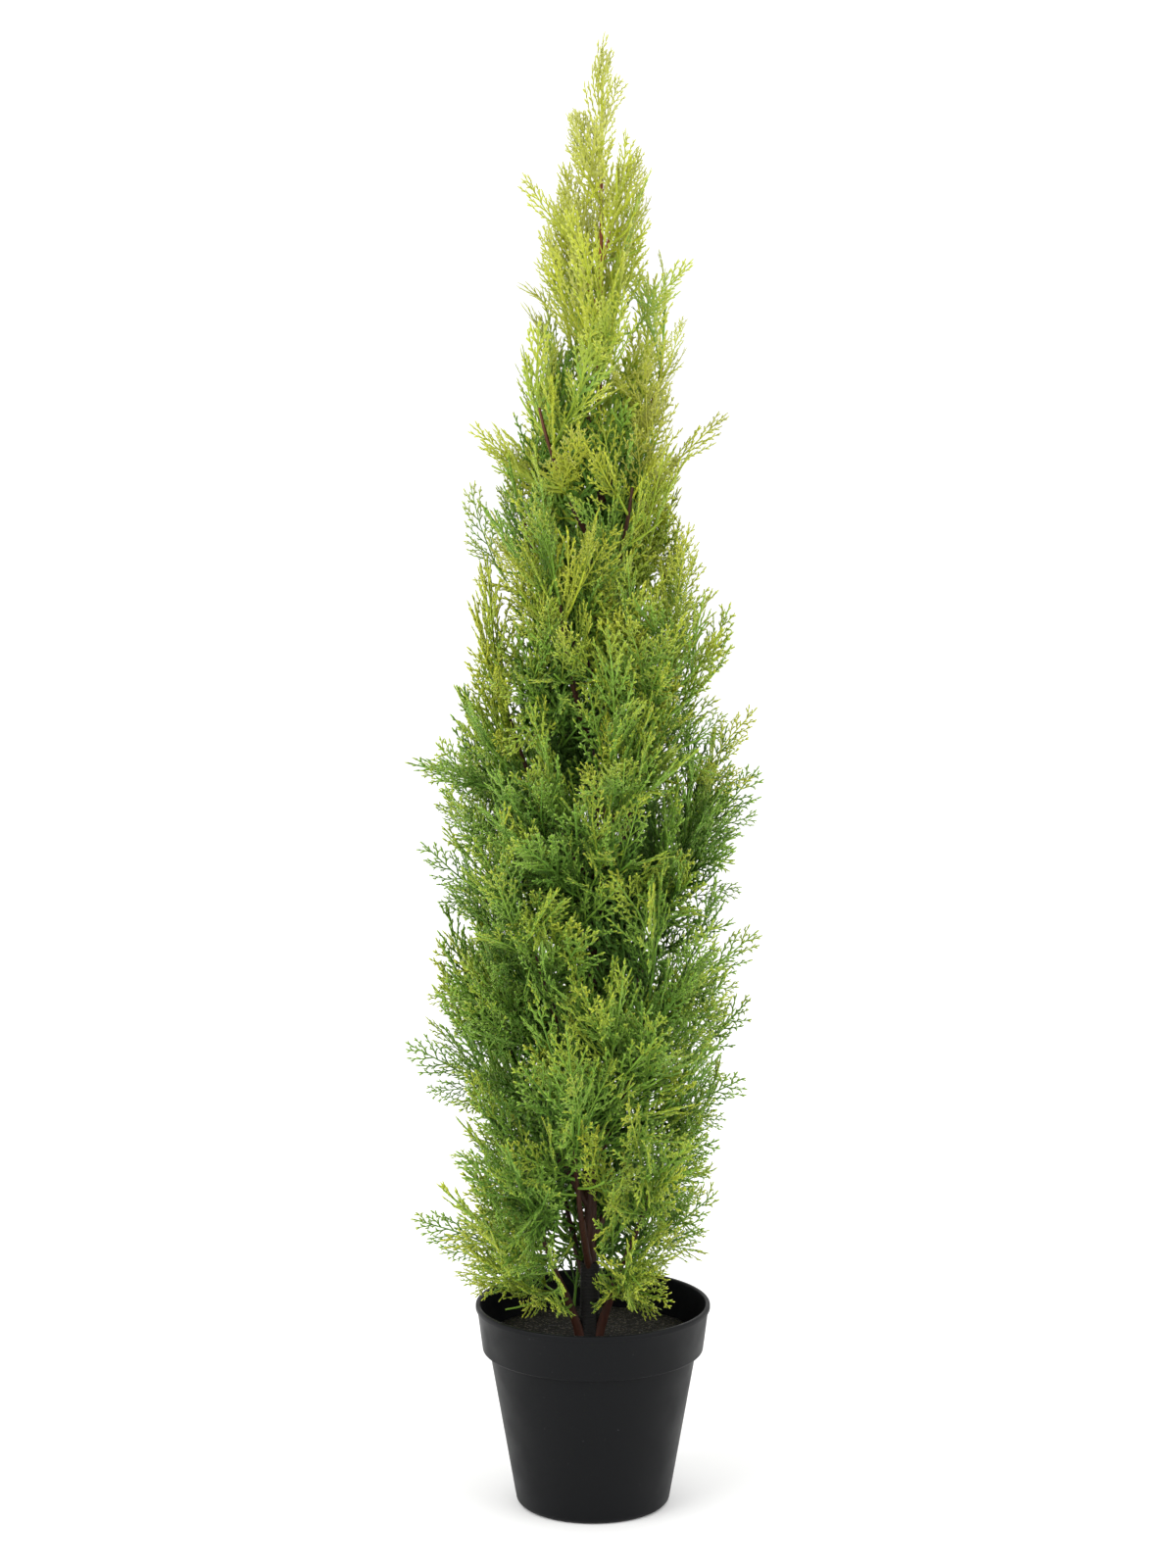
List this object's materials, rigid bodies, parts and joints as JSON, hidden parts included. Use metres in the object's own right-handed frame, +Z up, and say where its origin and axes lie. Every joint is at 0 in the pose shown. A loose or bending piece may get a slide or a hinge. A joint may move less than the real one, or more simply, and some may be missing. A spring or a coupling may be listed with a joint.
{
  "type": "artificial cypress tree in a pot",
  "caption": "Slim column-shaped artificial cypress with flat green sprays on steep brown boughs, its pole set in grey filler in a plain black tapered pot with a deep collar.",
  "frame": {"origin": "centre of the pot's flat underside, on the floor", "axes": "+Z up along the tree, +X to the right and +Y away from the viewer in the picture"},
  "size_m": [0.2934, 0.2882, 1.2],
  "materials": {
    "pot": "fine moulded grain",
    "filler": "rough with sandy grit",
    "trunk": "taped pole",
    "boughs": "moulded bark",
    "foliage": "satin moulded sprays",
    "young_foliage": "satin moulded sprays"
  },
  "bodies": {
    "root": {"pot": "pot", "filler": "filler", "trunk": "trunk", "bough_01": "boughs", "bough_02": "boughs", "bough_03": "boughs", "bough_04": "boughs", "bough_05": "boughs", "bough_06": "boughs", "bough_07": "boughs", "bough_08": "boughs", "bough_09": "boughs", "bough_10": "boughs", "bough_11": "boughs", "bough_12": "boughs", "bough_13": "boughs", "bough_14": "boughs", "bough_15": "boughs", "bough_16": "boughs", "bough_17": "boughs", "bough_18": "boughs", "bough_19": "boughs", "bough_20": "boughs", "bough_21": "boughs", "bough_22": "boughs", "bough_23": "boughs", "foliage_01": "foliage", "foliage_02": "foliage", "foliage_03": "foliage", "foliage_04": "foliage", "foliage_05": "foliage", "foliage_06": "foliage", "foliage_07": "foliage", "foliage_08": "foliage", "foliage_09": "foliage", "foliage_10": "foliage", "foliage_11": "foliage", "foliage_12": "foliage", "foliage_13": "foliage", "foliage_14": "foliage", "foliage_15": "foliage", "foliage_16": "foliage", "foliage_17": "foliage", "foliage_18": "foliage", "foliage_19": "foliage", "foliage_20": "foliage", "foliage_21": "young_foliage", "foliage_22": "young_foliage", "foliage_23": "young_foliage", "foliage_24": "young_foliage", "foliage_25": "young_foliage", "foliage_26": "young_foliage", "foliage_27": "young_foliage", "foliage_28": "young_foliage", "foliage_29": "young_foliage", "foliage_leader": "young_foliage"}
  },
  "joints": []
}
